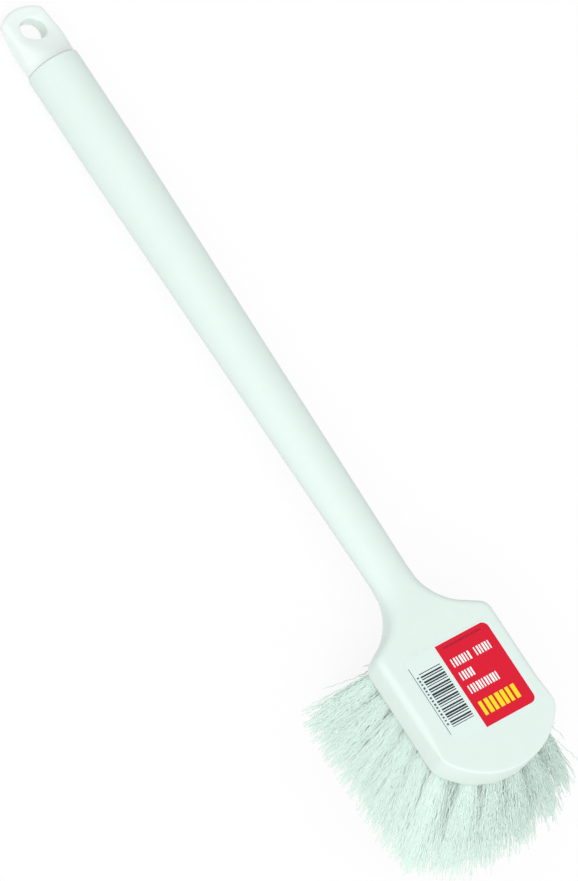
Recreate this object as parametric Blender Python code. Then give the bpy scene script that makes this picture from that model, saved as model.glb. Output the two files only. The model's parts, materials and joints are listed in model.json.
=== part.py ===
"""Long-handled scrub brush: handle and block moulded in one, a hang cap, a label and bristle tufts."""
import math
from collections import namedtuple

import bmesh
import bpy
from mathutils import Vector
from mathutils.geometry import delaunay_2d_cdt

# Lengths are in metres and angles in radians. The brush has axes of its own: X runs towards the
# head, Z leaves the flat top, and the origin is on the underside between the shoulder corners.

# Block, measured from the shoulder corners to the middle of its curved front end
BLOCK_LENGTH = 0.088
BLOCK_WIDTH = 0.079
BLOCK_THICKNESS = 0.018
BLOCK_FRONT_RISE = 0.0215
BLOCK_FRONT_CORNER_RADIUS = 0.010
SHOULDER_CORNER_RADIUS = 0.008
SHOULDER_ANGLE = math.radians(61)
TOP_EDGE_RADIUS = 0.004
BOTTOM_EDGE_RADIUS = 0.0012

# Neck, oval where it meets the block, and hollow handle, measured from the shoulder corners
NECK_WIDTH = 0.0246
NECK_FILLET_RADIUS = 0.027
NECK_FADE_LENGTH = 0.032
NECK_FADE_END_DISTANCE = 0.008
HANDLE_LENGTH = 0.3815
HANDLE_GRIP_LENGTH = 0.0575
HANDLE_END_DIAMETER = 0.0318
HANDLE_WALL = 0.003
BORE_DEPTH = 0.3175

# Hang cap: a plug in the handle's bore and a thinning tab with a hole to hang the brush by. At the
# seam its base stands a small step inside the handle.
CAP_LENGTH = 0.0385
CAP_SEAM_STEP = 0.0007
CAP_TAB_WIDTH = 0.0286
CAP_END_RISE = 0.0053
CAP_CORNER_RADIUS = 0.005
CAP_TIP_THICKNESS = 0.0082
CAP_EDGE_RADIUS = 0.0028
CAP_ROUND_LENGTH = 0.020
HANG_HOLE_DIAMETER = 0.015
HANG_HOLE_FROM_TIP = 0.016
SPIGOT_LENGTH = 0.020
SPIGOT_WALL = 0.002
CAP_FLOOR_THICKNESS = 0.003

# Tufts: where their holes are drilled, and how far and how wide the bristles stand out
TUFT_COLUMNS = 6
TUFT_ROW_PITCH = 0.0124
TUFT_SIDE_MARGIN = 0.008
TUFT_REAR_MARGIN = 0.006
TUFT_FRONT_MARGIN = 0.007
TUFT_HOLE_DIAMETER = 0.0064
TUFT_HOLE_FLOOR = 0.006
TRIM_DEPTH = 0.051
RAGGED_TIP_DEPTH = 0.0016
SIDE_LEAN = math.radians(25)
FRONT_LEAN = math.radians(30)
REAR_LEAN = math.radians(3)
STRANDS_PER_TUFT = 8
STRAND_DIAMETER = 0.0013
STRAND_EDGE_MARGIN = 0.00018
REST_CUT_DEPTH = 0.0005

# Wire anchors: their ears bite into the block at the bottom of each hole
ANCHOR_BITE = 0.0012
ANCHOR_HEIGHT = 0.0025

# Label on the flat top, held in from the block's ends and sides
LABEL_REAR_MARGIN = 0.0085
LABEL_FRONT_MARGIN = 0.0265
LABEL_LEFT_MARGIN = 0.007
LABEL_RIGHT_MARGIN = 0.012
LABEL_THICKNESS = 0.0003
LABEL_CORNER_RADIUS = 0.003
ADHESIVE_THICKNESS = 0.0003

# Clearance between pieces that touch, and how far a cutter runs past what it cuts
FIT_CLEARANCE = 0.0003
CUT_OVERRUN = 0.002

# Shares, chosen by hand
CAP_THINNING_POWER_SHARE = 2.5
STRAND_BEND_SHARE = 0.45
STRAND_CURVE_POWER_SHARE = 1.2
STRAND_TIP_SHARE = 0.8
GOLDEN_SHARE = (math.sqrt(5) - 1) / 2
SAME_POINT_SHARE = 1e-5

# Counts of steps along curves and of sides round them
BOTTOM_EDGE_STEPS = 2
TOP_EDGE_STEPS = 4
SECTION_POINTS = BOTTOM_EDGE_STEPS + TOP_EDGE_STEPS + 2
NECK_FILLET_STEPS = 7
SHOULDER_CORNER_STEPS = 4
FRONT_CORNER_STEPS = 3
FRONT_ARC_STEPS = 6
NECK_FADE_STEPS = 2
CAP_SIDE_STEPS = 7
LABEL_CORNER_STEPS = 4
TUFT_SIDES = 8
STRAND_SIDES = 3
HANG_HOLE_SIDES = 24

QUARTER_TURN = math.pi / 2
FULL_TURN = 2 * math.pi
SMOOTH_ANGLE = math.radians(35)

# One place along half of a body's plan outline: the point, its outward normal, half the body's
# height there, and how round the cross-section is, from 0 with flat faces to 1 for an ellipse.
Station = namedtuple("Station", "x y normal_x normal_y half_height roundness")

# One point of a plan outline with its outward normal
OutlinePoint = namedtuple("OutlinePoint", "x y normal_x normal_y")


def clear_scene():
    for old in list(bpy.data.objects):
        bpy.data.objects.remove(old)


def linear_colour(code):
    """Linear RGBA of an sRGB hex colour."""
    channels = [int(code[start:start + 2], 16) / 255 for start in (0, 2, 4)]
    return [((value + 0.055) / 1.055) ** 2.4 if value > 0.04045 else value / 12.92
            for value in channels] + [1]


def material(name, code, roughness):
    made = bpy.data.materials.new(name)
    made.use_nodes = True
    shader = made.node_tree.nodes["Principled BSDF"]
    shader.inputs["Base Color"].default_value = linear_colour(code)
    shader.inputs["Roughness"].default_value = roughness
    shader.inputs["Metallic"].default_value = 0
    return made


def add_object(name, shape, parent, location, finish):
    """A named object from a bmesh, placed under its parent and shaded smooth up to its edges."""
    bmesh.ops.recalc_face_normals(shape, faces=shape.faces)
    mesh = bpy.data.meshes.new(name)
    shape.to_mesh(mesh)
    shape.free()
    mesh.shade_smooth()
    mesh.set_sharp_from_angle(angle=SMOOTH_ANGLE)
    if finish is not None:
        mesh.materials.append(finish)
    made = bpy.data.objects.new(name, mesh)
    made.parent = parent
    made.location = location
    bpy.context.scene.collection.objects.link(made)
    return made


def cut_with(target, cutter):
    """Subtract a cutter from a piece, and leave the cutter out of the model."""
    cutter.hide_render = True
    cutter.display_type = "WIRE"
    cut = target.modifiers.new(cutter.name, "BOOLEAN")
    cut.operation = "DIFFERENCE"
    cut.solver = "EXACT"
    cut.object = cutter


def between(start, end, share):
    return start + (end - start) * share


def smooth_share(share):
    """A share that leaves 0 and reaches 1 without a kink."""
    return share * share * (3 - 2 * share)


def add_face(shape, corners):
    """A face from its corners, where two that are the same vertex count once."""
    return shape.faces.new(list(dict.fromkeys(corners)))


def bridge(shape, ring, other):
    """Skin the strip between two rings of as many vertices."""
    for place, vertex in enumerate(ring):
        following = (place + 1) % len(ring)
        add_face(shape, (vertex, ring[following], other[following], other[place]))


# Cross-sections


def edge_profile(half_height, bottom_radius, top_radius):
    """Inset and height of the points up one side of a section whose edges are rounded."""
    points = []
    for step in range(BOTTOM_EDGE_STEPS + 1):
        angle = QUARTER_TURN * (step / BOTTOM_EDGE_STEPS - 1)
        points.append((bottom_radius * (1 - math.cos(angle)),
                       -half_height + bottom_radius * (1 + math.sin(angle))))
    for step in range(TOP_EDGE_STEPS + 1):
        angle = QUARTER_TURN * step / TOP_EDGE_STEPS
        points.append((top_radius * (1 - math.cos(angle)),
                       half_height - top_radius * (1 - math.sin(angle))))
    return points


def round_angle(place):
    """Angle above the horizontal of one of the evenly spaced points up the side of a round."""
    return math.pi * (place + 0.5) / SECTION_POINTS - QUARTER_TURN


def section_side(station, side, bottom_radius, top_radius):
    """Points up the left or the right side of a body's section at a station."""
    points = []
    profile = edge_profile(station.half_height, bottom_radius, top_radius)
    for place, (inset, height) in enumerate(profile):
        flat = Vector((station.x - station.normal_x * inset,
                       side * (station.y - station.normal_y * inset), height))
        angle = round_angle(place)
        turned = Vector((station.x, side * station.y * math.cos(angle),
                         station.half_height * math.sin(angle)))
        points.append(flat.lerp(turned, station.roundness))
    return points


def sweep(shape, stations, bottom_radius, top_radius):
    """Skin a body from the ring at its stem to the middle of its far end; return that ring."""
    columns = []
    for station in stations:
        left = [shape.verts.new(point) for point in section_side(station, 1, bottom_radius, top_radius)]
        right = left
        if station is not stations[-1]:
            points = section_side(station, -1, bottom_radius, top_radius)
            right = [shape.verts.new(point) for point in points]
        columns.append((left, right))
    for near, far in zip(columns, columns[1:]):
        for near_side, far_side in zip(near, far):
            for low in range(SECTION_POINTS - 1):
                add_face(shape, (near_side[low], near_side[low + 1], far_side[low + 1], far_side[low]))
        for level in (0, -1):
            add_face(shape, (near[0][level], far[0][level], far[1][level], near[1][level]))
    left, right = columns[0]
    return left + right[::-1]


def round_ring(shape, x, radius):
    """A ring of vertices that matches the open end of a swept body."""
    angles = [round_angle(place) for place in range(SECTION_POINTS)]
    left = [Vector((x, radius * math.cos(angle), radius * math.sin(angle))) for angle in angles]
    right = [Vector((point.x, -point.y, point.z)) for point in reversed(left)]
    return [shape.verts.new(point) for point in left + right]


def arc_radius(half_width, rise):
    """Radius of an arc that rises this far in the middle between two straight sides."""
    return (half_width ** 2 + rise ** 2) / (2 * rise)


def rounded_end(length, half_width, rise, corner_radius):
    """Outline from the end of a straight side, round its corner, to the middle of a curved end."""
    end_radius = arc_radius(half_width, rise)
    end_centre = length - end_radius
    corner_y = half_width - corner_radius
    corner_x = end_centre + math.sqrt((end_radius - corner_radius) ** 2 - corner_y ** 2)
    meeting = math.atan2(corner_y, corner_x - end_centre)
    points = []
    for step in range(FRONT_CORNER_STEPS):
        angle = between(QUARTER_TURN, meeting, step / FRONT_CORNER_STEPS)
        points.append(OutlinePoint(corner_x + corner_radius * math.cos(angle),
                                   corner_y + corner_radius * math.sin(angle),
                                   math.cos(angle), math.sin(angle)))
    for step in range(FRONT_ARC_STEPS + 1):
        angle = meeting * (1 - step / FRONT_ARC_STEPS)
        points.append(OutlinePoint(end_centre + end_radius * math.cos(angle),
                                   end_radius * math.sin(angle),
                                   math.cos(angle), math.sin(angle)))
    return points


# Handle and block


def neck_start():
    """How far behind the shoulder corners the neck begins to flare."""
    fillet_length = NECK_FILLET_RADIUS * math.sin(SHOULDER_ANGLE)
    fillet_rise = NECK_FILLET_RADIUS * (1 - math.cos(SHOULDER_ANGLE))
    straight_rise = (BLOCK_WIDTH - NECK_WIDTH) / 2 - fillet_rise
    return fillet_length + straight_rise / math.tan(SHOULDER_ANGLE)


def neck_roundness(x):
    """How round the section is: an oval along the neck turns into the block's flat-faced section."""
    faded = (x + NECK_FADE_END_DISTANCE + NECK_FADE_LENGTH) / NECK_FADE_LENGTH
    return 1 - smooth_share(min(max(faded, 0), 1))


def handle_station(x):
    """The straight grip, then an even taper from its round section to the neck's oval."""
    taper_length = HANDLE_LENGTH - HANDLE_GRIP_LENGTH - neck_start()
    share = max((x + HANDLE_LENGTH - HANDLE_GRIP_LENGTH) / taper_length, 0)
    return Station(x, between(HANDLE_END_DIAMETER, NECK_WIDTH, share) / 2, 0, 1,
                   between(HANDLE_END_DIAMETER, BLOCK_THICKNESS, share) / 2, neck_roundness(x))


def handle_stations():
    """Stations from the handle's open end to where the neck begins to flare."""
    fade_x = -NECK_FADE_END_DISTANCE - NECK_FADE_LENGTH
    stations = [handle_station(-HANDLE_LENGTH), handle_station(HANDLE_GRIP_LENGTH - HANDLE_LENGTH)]
    for step in range(NECK_FADE_STEPS):
        stations.append(handle_station(between(fade_x, -neck_start(), step / NECK_FADE_STEPS)))
    return stations


def shoulder_outline():
    """Outline of the neck's fillet and of the shoulder's rounded corner."""
    points = []
    for step in range(NECK_FILLET_STEPS + 1):
        angle = SHOULDER_ANGLE * step / NECK_FILLET_STEPS
        points.append(OutlinePoint(-neck_start() + NECK_FILLET_RADIUS * math.sin(angle),
                                   NECK_WIDTH / 2 + NECK_FILLET_RADIUS * (1 - math.cos(angle)),
                                   -math.sin(angle), math.cos(angle)))
    corner_x = SHOULDER_CORNER_RADIUS * math.tan(SHOULDER_ANGLE / 2)
    corner_y = BLOCK_WIDTH / 2 - SHOULDER_CORNER_RADIUS
    for step in range(SHOULDER_CORNER_STEPS + 1):
        angle = SHOULDER_ANGLE * (1 - step / SHOULDER_CORNER_STEPS)
        points.append(OutlinePoint(corner_x - SHOULDER_CORNER_RADIUS * math.sin(angle),
                                   corner_y + SHOULDER_CORNER_RADIUS * math.cos(angle),
                                   -math.sin(angle), math.cos(angle)))
    return points


def block_stations():
    outline = shoulder_outline() + rounded_end(
        BLOCK_LENGTH, BLOCK_WIDTH / 2, BLOCK_FRONT_RISE, BLOCK_FRONT_CORNER_RADIUS)
    return [Station(*point, BLOCK_THICKNESS / 2, neck_roundness(point.x)) for point in outline]


def bore_radius(x):
    """Radius of the bore, which narrows evenly from its mouth to its bottom inside the handle."""
    mouth = HANDLE_END_DIAMETER / 2 - HANDLE_WALL
    bottom = handle_station(BORE_DEPTH - HANDLE_LENGTH).half_height - HANDLE_WALL
    return between(mouth, bottom, (x + HANDLE_LENGTH) / BORE_DEPTH)


def build_body(parent, finish):
    """The one moulding of handle and block, bored from its end and drilled for the tufts."""
    shape = bmesh.new()
    outside = sweep(shape, handle_stations() + block_stations(), BOTTOM_EDGE_RADIUS, TOP_EDGE_RADIUS)
    mouth = round_ring(shape, -HANDLE_LENGTH, bore_radius(-HANDLE_LENGTH))
    bottom_x = BORE_DEPTH - HANDLE_LENGTH
    bottom = round_ring(shape, bottom_x, bore_radius(bottom_x))
    bridge(shape, outside, mouth)
    bridge(shape, mouth, bottom)
    shape.faces.new(bottom)
    body = add_object("brush_body", shape, parent, (0, 0, BLOCK_THICKNESS / 2), finish)
    cut_with(body, build_hole_cutter(parent))
    return body


# Tufts


def outer_column_y():
    return BLOCK_WIDTH / 2 - TUFT_SIDE_MARGIN


def column_pitch():
    return 2 * outer_column_y() / (TUFT_COLUMNS - 1)


def tuft_places():
    """Row, column and place of every tuft hole; each column ends along the curved front."""
    front_radius = arc_radius(BLOCK_WIDTH / 2, BLOCK_FRONT_RISE)
    front_centre = BLOCK_LENGTH - front_radius
    reach = front_radius - TUFT_FRONT_MARGIN
    places = []
    for column in range(TUFT_COLUMNS):
        y = column * column_pitch() - outer_column_y()
        front_x = front_centre + math.sqrt(reach ** 2 - y ** 2)
        gaps = round((front_x - TUFT_REAR_MARGIN) / TUFT_ROW_PITCH)
        for row in range(gaps + 1):
            x = between(TUFT_REAR_MARGIN, front_x, row / gaps)
            places.append((row + 1, column + 1, x, y))
    return places


def lean_slopes(x, y):
    """How far a tuft leans forwards and sideways for each unit of its depth."""
    row_share = (x - TUFT_REAR_MARGIN) / (BLOCK_LENGTH - TUFT_FRONT_MARGIN - TUFT_REAR_MARGIN)
    forward = between(math.tan(REAR_LEAN), math.tan(FRONT_LEAN), row_share)
    return forward, math.tan(SIDE_LEAN) * y / outer_column_y()


def root_radius():
    return TUFT_HOLE_DIAMETER / 2 - FIT_CLEARANCE


def strand_ring_radius():
    """Radius of the ring of strands, held in from the flat sides of the tuft's root."""
    root_flat = root_radius() * math.cos(math.pi / TUFT_SIDES)
    return root_flat - STRAND_EDGE_MARGIN - STRAND_DIAMETER / 2


def tip_ring_radius():
    """How wide a tuft opens: the tips of neighbours meet halfway between their holes."""
    return min(column_pitch(), TUFT_ROW_PITCH) / 2


def strand_roots():
    """Places of a tuft's strands where they leave the block: one in a ring of the others."""
    around = STRANDS_PER_TUFT - 1
    ring = [Vector((strand_ring_radius() * math.cos(FULL_TURN * place / around),
                    strand_ring_radius() * math.sin(FULL_TURN * place / around)))
            for place in range(around)]
    return [Vector((0, 0))] + ring


def strand_centre(root, slopes, depth):
    """Middle of a strand at a depth below the block, spread and bent outwards."""
    bend = (depth / TRIM_DEPTH) ** STRAND_CURVE_POWER_SHARE
    spread = between(1, tip_ring_radius() / strand_ring_radius(), bend)
    return Vector((root.x * spread + slopes[0] * TRIM_DEPTH * bend,
                   root.y * spread + slopes[1] * TRIM_DEPTH * bend, -depth))


def strand_depth(order):
    """Depth of a strand's tip; the tips are a little ragged, by an even rule."""
    return TRIM_DEPTH - RAGGED_TIP_DEPTH * ((order * GOLDEN_SHARE) % 1)


def strand_ring(centre, radius):
    """Corners of a strand's cross-section, which is level and never turns."""
    return [centre + Vector((radius * math.cos(FULL_TURN * side / STRAND_SIDES),
                             radius * math.sin(FULL_TURN * side / STRAND_SIDES), 0))
            for side in range(STRAND_SIDES)]


def handle_rest_depth():
    """Depth of the lowest edge of the handle's open end below the block's underside."""
    return HANDLE_END_DIAMETER / 2 * math.sin(round_angle(SECTION_POINTS - 1)) - BLOCK_THICKNESS / 2


def rest_slope():
    """Slope of the surface that the brush rests on, from the handle's end to the rear bristles."""
    steepest = 0
    resting = 0
    for number, (_, _, x, y) in enumerate(tuft_places()):
        for strand, root in enumerate(strand_roots()):
            depth = strand_depth(number * STRANDS_PER_TUFT + strand)
            tip = strand_centre(root, lean_slopes(x, y), depth)
            reach = x + tip.x + HANDLE_LENGTH
            slope = (depth - handle_rest_depth()) / reach
            if slope > steepest:
                steepest = slope
                resting = (depth - REST_CUT_DEPTH - handle_rest_depth()) / reach
    return resting


def height_over_rest(point, tuft_x, slope):
    """Height of a point of a tuft over the surface that the brush rests on."""
    return point.z + handle_rest_depth() + slope * (tuft_x + point.x + HANDLE_LENGTH)


def cut_at_rest(upper, lower, tuft_x, slope):
    """A strand's lower corner, brought back up its edge to the resting surface if it passes it."""
    below = height_over_rest(lower, tuft_x, slope)
    if below >= 0:
        return lower
    above = height_over_rest(upper, tuft_x, slope)
    return upper.lerp(lower, above / (above - below))


def tuft_ring(shape, radius, height):
    return [shape.verts.new((radius * math.cos(FULL_TURN * (corner + 0.5) / TUFT_SIDES),
                             radius * math.sin(FULL_TURN * (corner + 0.5) / TUFT_SIDES), height))
            for corner in range(TUFT_SIDES)]


def anchored_root(shape, radius, bottom, ear_base, top, ear_reach):
    """A prism with an anchor ear on either side at its top; return its open ring at the bottom."""
    low = tuft_ring(shape, radius, bottom)
    middle = tuft_ring(shape, radius, ear_base)
    high = tuft_ring(shape, radius, top)
    bridge(shape, low, middle)
    ear_sides = {TUFT_SIDES // 4 - 1: ear_reach, 3 * TUFT_SIDES // 4 - 1: -ear_reach}
    for side in range(TUFT_SIDES):
        corners = [middle[side], middle[(side + 1) % TUFT_SIDES],
                   high[(side + 1) % TUFT_SIDES], high[side]]
        if side in ear_sides:
            outer = [shape.verts.new((corner.co.x, ear_sides[side], corner.co.z)) for corner in corners]
            bridge(shape, corners, outer)
            shape.faces.new(outer)
        else:
            shape.faces.new(corners)
    shape.faces.new(high)
    return low


def hole_ear_reach():
    return TUFT_HOLE_DIAMETER / 2 + ANCHOR_BITE


def hole_depth():
    return BLOCK_THICKNESS - TUFT_HOLE_FLOOR


def build_hole_cutter(parent):
    """Every tuft hole as one cutter, each with the slots that its anchor's ears bite into."""
    shape = bmesh.new()
    for _, _, x, y in tuft_places():
        hole = bmesh.new()
        low = anchored_root(hole, TUFT_HOLE_DIAMETER / 2, -CUT_OVERRUN,
                            hole_depth() - ANCHOR_HEIGHT - 2 * FIT_CLEARANCE,
                            hole_depth(), hole_ear_reach())
        hole.faces.new(low)
        bmesh.ops.translate(hole, vec=(x, y, 0), verts=hole.verts)
        drilled = bpy.data.meshes.new("tuft_hole")
        hole.to_mesh(drilled)
        hole.free()
        shape.from_mesh(drilled)
    return add_object("tuft_hole_cutter", shape, parent, (0, 0, 0), None)


def fill_around_strands(shape, rim, roots, scale):
    """Fill the root's lower face, which is flat, and leave a hole where each strand grows."""
    loops = [rim] + roots
    vertices = [vertex for loop in loops for vertex in loop]
    numbers = {vertex: number for number, vertex in enumerate(vertices)}
    flat_points = [Vector((vertex.co.x, vertex.co.y)) / scale for vertex in vertices]
    edges = [(numbers[vertex], numbers[loop[(place + 1) % len(loop)]])
             for loop in loops for place, vertex in enumerate(loop)]
    owners = [owner for owner, loop in enumerate(loops) for _ in loop]
    _, _, triangles, sources, _, _ = delaunay_2d_cdt(flat_points, edges, [], 0, SAME_POINT_SHARE)
    for triangle in triangles:
        corners = [sources[corner][0] for corner in triangle]
        owned_by = {owners[corner] for corner in corners}
        if len(owned_by) > 1 or 0 in owned_by:
            shape.faces.new([vertices[corner] for corner in corners])


def add_strand(shape, root_ring, root, slopes, depth, tuft_x, slope):
    """Grow one strand from its place in the root, with one bend and a tip cut where it rests."""
    bend_depth = depth * STRAND_BEND_SHARE
    bend_points = strand_ring(strand_centre(root, slopes, bend_depth), STRAND_DIAMETER / 2)
    tip_points = strand_ring(strand_centre(root, slopes, depth), STRAND_DIAMETER / 2 * STRAND_TIP_SHARE)
    tip_points = [cut_at_rest(upper, lower, tuft_x, slope)
                  for upper, lower in zip(bend_points, tip_points)]
    bend_ring = [shape.verts.new(point) for point in bend_points]
    tip_ring = [shape.verts.new(point) for point in tip_points]
    bridge(shape, root_ring, bend_ring)
    bridge(shape, bend_ring, tip_ring)
    shape.faces.new(tip_ring)


def build_tuft(number, place, slope, parent, finish):
    """One tuft: its folded root and anchor in the drilled hole, and its bristles below."""
    row, column, x, y = place
    shape = bmesh.new()
    top = hole_depth() - FIT_CLEARANCE
    rim = anchored_root(shape, root_radius(), 0, top - ANCHOR_HEIGHT, top,
                        hole_ear_reach() - FIT_CLEARANCE)
    slopes = lean_slopes(x, y)
    root_rings = []
    for root in strand_roots():
        points = strand_ring(root.to_3d(), STRAND_DIAMETER / 2)
        root_rings.append([shape.verts.new(point) for point in points])
    fill_around_strands(shape, rim, root_rings, TUFT_HOLE_DIAMETER)
    for strand, root in enumerate(strand_roots()):
        depth = strand_depth(number * STRANDS_PER_TUFT + strand)
        add_strand(shape, root_rings[strand], root, slopes, depth, x, slope)
    return add_object(f"tuft_row_{row}_column_{column}", shape, parent, (x, y, 0), finish)


# Hang cap


def cap_base_diameter():
    return HANDLE_END_DIAMETER - 2 * CAP_SEAM_STEP


def cap_half_height(x):
    """Half the cap's thickness, which falls from the round base to the thin tip."""
    share = 1 - x / CAP_LENGTH
    return between(CAP_TIP_THICKNESS, cap_base_diameter(), share ** CAP_THINNING_POWER_SHARE) / 2


def cap_stations():
    """The cap from its round base, along its narrowing sides, to the middle of its tip."""
    end = rounded_end(CAP_LENGTH, CAP_TAB_WIDTH / 2, CAP_END_RISE, CAP_CORNER_RADIUS)
    stations = []
    for step in range(CAP_SIDE_STEPS):
        x = end[0].x * step / CAP_SIDE_STEPS
        half_width = between(cap_base_diameter(), CAP_TAB_WIDTH, step / CAP_SIDE_STEPS) / 2
        roundness = 1 - smooth_share(min(x / CAP_ROUND_LENGTH, 1))
        stations.append(Station(x, half_width, 0, 1, cap_half_height(x), roundness))
    stations += [Station(*point, cap_half_height(point.x), 0) for point in end]
    return stations


def build_cap(parent, finish):
    """The hang cap: a hollow spigot for the handle's bore, and the tab with its hole."""
    shape = bmesh.new()
    outside = sweep(shape, cap_stations(), CAP_EDGE_RADIUS, CAP_EDGE_RADIUS)
    rings = [outside]
    hollow_x = -CAP_FLOOR_THICKNESS
    for x, wall in ((0, 0), (-SPIGOT_LENGTH, 0), (-SPIGOT_LENGTH, SPIGOT_WALL), (hollow_x, SPIGOT_WALL)):
        radius = bore_radius(-HANDLE_LENGTH - x) - FIT_CLEARANCE - wall
        rings.append(round_ring(shape, x, radius))
    for ring, following in zip(rings, rings[1:]):
        bridge(shape, ring, following)
    shape.faces.new(rings[-1])
    base = (-HANDLE_LENGTH - FIT_CLEARANCE, 0, BLOCK_THICKNESS / 2)
    cap = add_object("hang_cap", shape, parent, base, finish)
    cap.rotation_euler.z = math.pi
    cut_with(cap, build_hang_hole_cutter(cap))
    return cap


def build_hang_hole_cutter(cap):
    shape = bmesh.new()
    depth = cap_base_diameter() + 2 * CUT_OVERRUN
    bmesh.ops.create_cone(shape, cap_ends=True, segments=HANG_HOLE_SIDES,
                          radius1=HANG_HOLE_DIAMETER / 2, radius2=HANG_HOLE_DIAMETER / 2, depth=depth)
    return add_object("hang_hole_cutter", shape, cap, (CAP_LENGTH - HANG_HOLE_FROM_TIP, 0, 0), None)


# Label


def build_label(parent, finish):
    """The printed label, a thin sheet with rounded corners on a layer of adhesive."""
    shape = bmesh.new()
    rear_x = LABEL_REAR_MARGIN
    front_x = BLOCK_LENGTH - LABEL_FRONT_MARGIN
    right_y = LABEL_RIGHT_MARGIN - BLOCK_WIDTH / 2
    left_y = BLOCK_WIDTH / 2 - LABEL_LEFT_MARGIN
    inner_x = (front_x - rear_x) / 2 - LABEL_CORNER_RADIUS
    inner_y = (left_y - right_y) / 2 - LABEL_CORNER_RADIUS
    rings = ([], [])
    for corner, (across, up) in enumerate(((1, 1), (-1, 1), (-1, -1), (1, -1))):
        for step in range(LABEL_CORNER_STEPS + 1):
            angle = QUARTER_TURN * (corner + step / LABEL_CORNER_STEPS)
            x = across * inner_x + LABEL_CORNER_RADIUS * math.cos(angle)
            y = up * inner_y + LABEL_CORNER_RADIUS * math.sin(angle)
            for ring, height in zip(rings, (0, LABEL_THICKNESS)):
                ring.append(shape.verts.new((x, y, height)))
    bridge(shape, *rings)
    for ring in rings:
        shape.faces.new(ring)
    place = ((rear_x + front_x) / 2, (right_y + left_y) / 2, BLOCK_THICKNESS + ADHESIVE_THICKNESS)
    return add_object("label", shape, parent, place, finish)


# The whole brush


def stand_on_floor(stance, pieces):
    """Move the brush so that the middle of its underside's box is at the world's origin."""
    bpy.context.view_layer.update()
    corners = [piece.matrix_world @ vertex.co for piece in pieces for vertex in piece.data.vertices]
    lowest = [min(corner[axis] for corner in corners) for axis in range(3)]
    highest = [max(corner[axis] for corner in corners) for axis in range(3)]
    stance.location -= Vector(((lowest[0] + highest[0]) / 2, (lowest[1] + highest[1]) / 2, lowest[2]))
    bpy.context.view_layer.update()


def build_brush():
    """The brush at rest: its rear bristles and the end of its handle touch the floor."""
    clear_scene()
    body_plastic = material("white_polypropylene", "E9F6F1", 0.42)
    cap_plastic = material("white_cap_plastic", "E8F2EE", 0.40)
    bristle_plastic = material("natural_polypropylene_bristle", "DDEEE6", 0.35)
    label_paper = material("printed_label", "E11937", 0.45)
    slope = rest_slope()
    stance = bpy.data.objects.new("brush_stance", None)
    stance.rotation_euler.y = -math.atan(slope)
    bpy.context.scene.collection.objects.link(stance)
    pieces = [build_body(stance, body_plastic), build_cap(stance, cap_plastic),
              build_label(stance, label_paper)]
    for number, place in enumerate(tuft_places()):
        pieces.append(build_tuft(number, place, slope, stance, bristle_plastic))
    stand_on_floor(stance, pieces)
    return pieces


build_brush()
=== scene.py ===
"""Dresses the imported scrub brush: body, hang cap, label, bristles and a plain studio."""
from __future__ import annotations

import json
import logging
import math
import random
from dataclasses import dataclass, field
from enum import Enum
from typing import Sequence

import bmesh
import bpy
from mathutils import Matrix, Vector


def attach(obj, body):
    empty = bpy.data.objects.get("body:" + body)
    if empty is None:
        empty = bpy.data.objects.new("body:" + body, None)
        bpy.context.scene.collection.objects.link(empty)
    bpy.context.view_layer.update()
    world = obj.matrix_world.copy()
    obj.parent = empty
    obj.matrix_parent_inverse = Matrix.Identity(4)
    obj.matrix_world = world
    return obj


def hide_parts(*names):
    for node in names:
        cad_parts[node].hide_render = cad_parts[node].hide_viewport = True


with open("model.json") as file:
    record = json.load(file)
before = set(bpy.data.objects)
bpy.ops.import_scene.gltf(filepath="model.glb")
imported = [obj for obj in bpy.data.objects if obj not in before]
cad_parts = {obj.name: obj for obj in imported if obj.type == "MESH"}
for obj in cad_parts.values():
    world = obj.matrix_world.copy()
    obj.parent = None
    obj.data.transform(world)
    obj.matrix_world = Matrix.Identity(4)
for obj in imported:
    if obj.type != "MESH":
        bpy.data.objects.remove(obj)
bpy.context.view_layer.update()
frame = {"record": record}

log = logging.getLogger("scrub_brush")

# Lengths are in metres and angles in radians. The brush has axes of its own: X runs towards the
# head, Z leaves the flat top, and the origin is on the underside between the shoulder corners.
QUARTER_TURN = math.pi / 2
FULL_TURN = 2 * math.pi
GOLDEN_ANGLE = math.pi * (3 - math.sqrt(5))
GOLDEN_SHARE = 0.618
MERGE_DISTANCE = 0.000002


class Side(Enum):
    """The two long sides of the brush."""

    LEFT = 1
    RIGHT = -1


# Shader helpers


def linear(code: str) -> tuple[float, float, float, float]:
    """Turns an sRGB hex colour into linear RGBA.

    Args:
        code: Six hex digits, such as "E9F6F1".

    Returns:
        The linear colour with an alpha of one.
    """
    channels = [int(code[start:start + 2], 16) / 255 for start in (0, 2, 4)]
    red, green, blue = [((value + 0.055) / 1.055) ** 2.4 if value > 0.04045 else value / 12.92
                        for value in channels]
    return red, green, blue, 1.0


def add_node(tree: bpy.types.NodeTree, kind: str, settings: dict | None = None,
             links: dict | None = None) -> bpy.types.Node:
    """Adds one shader node with its settings and links.

    Args:
        tree: The node tree to add to.
        kind: The node's Blender type name.
        settings: Attribute names, or input names and numbers, with their values.
        links: Input names or numbers with the output socket that feeds each.

    Returns:
        The new node.
    """
    node = tree.nodes.new(kind)
    for name, value in (settings or {}).items():
        if isinstance(name, str) and hasattr(node, name):
            setattr(node, name, value)
        else:
            find_input(node, name).default_value = value
    for name, socket in (links or {}).items():
        tree.links.new(socket, find_input(node, name))
    return node


def find_input(node: bpy.types.Node, name: str | int) -> bpy.types.NodeSocket:
    """Finds an input in use, as a Mix node has one of each name for every data type.

    Args:
        node: The node to look in.
        name: The input's name, or its number.

    Returns:
        The input socket.
    """
    if isinstance(name, int):
        return node.inputs[name]
    return next(socket for socket in node.inputs if socket.name == name and socket.enabled)


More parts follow.
